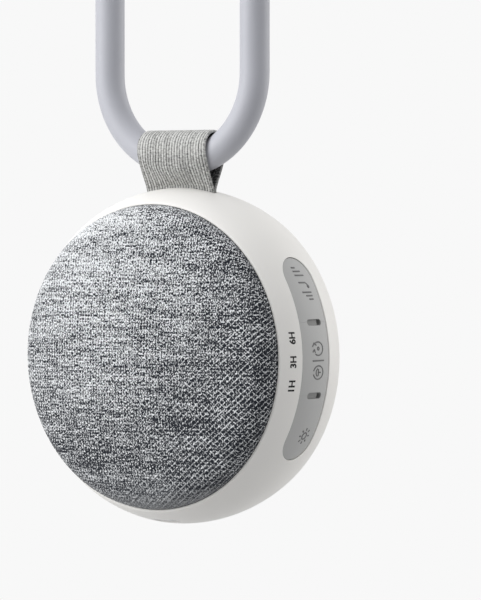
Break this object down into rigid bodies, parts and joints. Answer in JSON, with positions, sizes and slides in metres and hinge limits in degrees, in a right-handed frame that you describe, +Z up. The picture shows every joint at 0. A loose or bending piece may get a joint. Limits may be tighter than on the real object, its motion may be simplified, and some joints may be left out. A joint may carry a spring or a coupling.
{
  "type": "white noise sound machine",
  "caption": "Round portable sound machine with a cloth-covered speaker front, curved side key strips and a warm night light at the back, hung by an elastic strap from an oblong snap ring.",
  "frame": {"origin": "crown of the inside of the hanging ring, where it rests on a rail", "axes": "-Y is the cloth front, +Y the night light, +Z up along the ring"},
  "size_m": [0.0994, 0.0426, 0.215],
  "materials": {
    "ring_plastic": "matt blue-grey moulded plastic",
    "white_plastic": "satin off-white moulded plastic",
    "dark_plastic": "black moulded plastic",
    "melange_cloth": "grey, white and near-black knitted cloth",
    "elastic_tape": "ribbed light grey elastic tape",
    "key_rubber": "matt grey silicone",
    "bezel_plastic": "matt blue-grey moulded plastic",
    "warm_diffuser": "milky diffuser lit warm white",
    "steel": "plain steel",
    "speaker_steel": "black coated steel",
    "cone_paper": "black pressed paper",
    "soft_rubber": "black soft rubber",
    "battery_foil": "laminated foil",
    "board": "green circuit board",
    "lamp": "small warm white lamps"
  },
  "bodies": {
    "ring": {"hanging_ring": "ring_plastic", "gate_pin": "steel", "gate_spring": "steel"},
    "gate": {"ring_gate": "ring_plastic"},
    "device": {"housing": "white_plastic", "grille_cloth": "melange_cloth", "grille_frame": "dark_plastic", "baffle": "dark_plastic", "chassis_screws": "steel", "speaker_basket": "speaker_steel", "speaker_magnet": "speaker_steel", "speaker_cone": "cone_paper", "speaker_surround": "soft_rubber", "speaker_gasket": "soft_rubber", "speaker_screws": "steel", "battery": "battery_foil", "battery_tray": "dark_plastic", "main_board": "board", "main_board_chips": "dark_plastic", "usb_port": "steel", "charge_board": "board", "right_key_board": "board", "right_switches": "dark_plastic", "left_key_board": "board", "left_switches": "dark_plastic", "light_tray": "white_plastic", "led_board": "board", "led_chips": "lamp", "diffuser_ring": "bezel_plastic", "light_diffuser": "warm_diffuser", "strap_loop": "elastic_tape", "strap_bar": "steel"},
    "sound_key_body": {"sound_key": "key_rubber"},
    "timer_key_body": {"timer_key": "key_rubber"},
    "light_key_body": {"light_key": "key_rubber"},
    "volume_down_key_body": {"volume_down_key": "key_rubber"},
    "volume_up_key_body": {"volume_up_key": "key_rubber"},
    "power_key_body": {"power_key": "key_rubber"}
  },
  "joints": [
    {"name": "strap_swing", "type": "hinge", "parent": "ring", "child": "device", "pos_m": [0, 0, -0.0986], "axis": [1, 0, 0], "range_deg": [-45, 45], "deforming": ["strap_loop"]},
    {"name": "gate_hinge", "type": "hinge", "parent": "ring", "child": "gate", "pos_m": [0.0265, 0, -0.0452], "axis": [0, -1, 0], "range_deg": [0, 40], "stiffness_Nm_per_rad": 0.02, "springref_deg": -20.05},
    {"name": "sound_key_press", "type": "slide", "parent": "device", "child": "sound_key_body", "axis": [-1, 0, 0], "range_m": [0, 0.0005], "stiffness_N_per_m": 2000, "springref_m": -0.0003},
    {"name": "timer_key_press", "type": "slide", "parent": "device", "child": "timer_key_body", "axis": [-1, 0, 0], "range_m": [0, 0.0005], "stiffness_N_per_m": 2000, "springref_m": -0.0003},
    {"name": "light_key_press", "type": "slide", "parent": "device", "child": "light_key_body", "axis": [-1, 0, 0], "range_m": [0, 0.0005], "stiffness_N_per_m": 2000, "springref_m": -0.0003},
    {"name": "volume_down_key_press", "type": "slide", "parent": "device", "child": "volume_down_key_body", "axis": [1, 0, 0], "range_m": [0, 0.0005], "stiffness_N_per_m": 2000, "springref_m": -0.0003},
    {"name": "volume_up_key_press", "type": "slide", "parent": "device", "child": "volume_up_key_body", "axis": [1, 0, 0], "range_m": [0, 0.0005], "stiffness_N_per_m": 2000, "springref_m": -0.0003},
    {"name": "power_key_press", "type": "slide", "parent": "device", "child": "power_key_body", "axis": [1, 0, 0], "range_m": [0, 0.0005], "stiffness_N_per_m": 2000, "springref_m": -0.0003}
  ]
}
